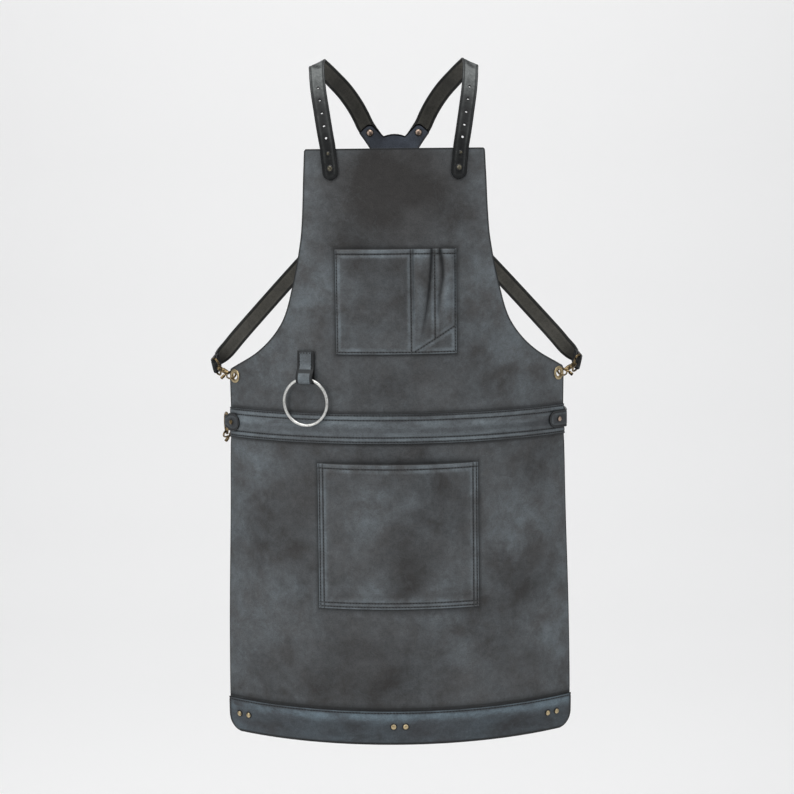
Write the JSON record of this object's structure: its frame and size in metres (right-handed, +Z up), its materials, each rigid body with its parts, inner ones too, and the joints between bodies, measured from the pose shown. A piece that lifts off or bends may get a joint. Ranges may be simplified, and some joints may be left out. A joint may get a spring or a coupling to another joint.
{
  "type": "leather work apron",
  "caption": "Leather work apron with a narrow bib, cross-back straps clipped to eyelets, a waistband, chest and skirt pockets, a hanging tool ring and a riveted hem band.",
  "frame": {"origin": "midway between the places where the two shoulder straps rest on the shoulders", "axes": "+Z up, -Y the way the apron's front faces, +X to the viewer's right"},
  "size_m": [0.57, 0.2946, 1.0242],
  "materials": {
    "panel_leather": "waxed pull-up leather, charcoal with blue-grey bloom",
    "band_leather": "waxed leather, bluer grey with pale streaks",
    "strap_leather": "dark strap leather, matte flesh side",
    "antique_brass": "antique brass, darkened in the hollows",
    "copper": "aged copper rivet caps",
    "ring_steel": "satin steel"
  },
  "bodies": {
    "apron": {"bib_panel": "panel_leather", "skirt_panel": "panel_leather", "chest_pocket": "panel_leather", "skirt_pocket": "panel_leather", "ring_tab": "panel_leather", "waistband": "band_leather", "hem_band": "band_leather", "back_yoke": "band_leather", "shoulder_strap_left": "strap_leather", "shoulder_strap_right": "strap_leather", "side_strap_left": "strap_leather", "side_strap_right": "strap_leather", "waist_tab": "strap_leather", "waist_strap": "strap_leather", "yoke_rivet_left": "copper", "yoke_rivet_right": "copper", "yoke_lower_rivet_left": "copper", "yoke_lower_rivet_right": "copper", "waist_strap_rivet": "copper", "side_hook_left_body": "antique_brass", "side_hook_left_eye": "antique_brass", "side_hook_right_body": "antique_brass", "side_hook_right_eye": "antique_brass", "waist_hook_body": "antique_brass", "waist_hook_eye": "antique_brass", "waist_ring": "antique_brass", "waist_tab_rivet": "antique_brass", "grommet_left": "antique_brass", "grommet_right": "antique_brass", "strap_stud_left": "antique_brass", "strap_stud_right": "antique_brass", "strap_eyelet_left": "antique_brass", "strap_eyelet_right": "antique_brass", "hem_rivet_1": "antique_brass", "hem_rivet_2": "antique_brass", "hem_rivet_3": "antique_brass", "hem_rivet_4": "antique_brass", "hem_rivet_5": "antique_brass", "hem_rivet_6": "antique_brass"},
    "left_trigger": {"side_hook_left_trigger": "antique_brass"},
    "right_trigger": {"side_hook_right_trigger": "antique_brass"},
    "waist_trigger": {"waist_hook_trigger": "antique_brass"},
    "hanging_ring": {"tool_ring": "ring_steel"}
  },
  "joints": [
    {"name": "ring_swing", "type": "hinge", "parent": "apron", "child": "hanging_ring", "pos_m": [-0.13562, -0.09792, -0.465], "axis": [-0.929, 0.3701, 0], "range_deg": [0, 60]},
    {"name": "left_trigger_press", "type": "hinge", "parent": "apron", "child": "left_trigger", "pos_m": [-0.25995, -0.01129, -0.46509], "axis": [-0.1967, -0.6267, 0.7541], "range_deg": [0, 25], "stiffness_Nm_per_rad": 0.03, "springref_deg": -17.19},
    {"name": "right_trigger_press", "type": "hinge", "parent": "apron", "child": "right_trigger", "pos_m": [0.25995, -0.01129, -0.46509], "axis": [-0.1967, 0.6267, -0.7541], "range_deg": [0, 25], "stiffness_Nm_per_rad": 0.03, "springref_deg": -17.19},
    {"name": "waist_trigger_press", "type": "hinge", "parent": "apron", "child": "waist_trigger", "pos_m": [-0.25983, 0.0099, -0.56267], "axis": [-0.6187, 0.5972, 0.5105], "range_deg": [0, 25], "stiffness_Nm_per_rad": 0.03, "springref_deg": -17.19}
  ]
}
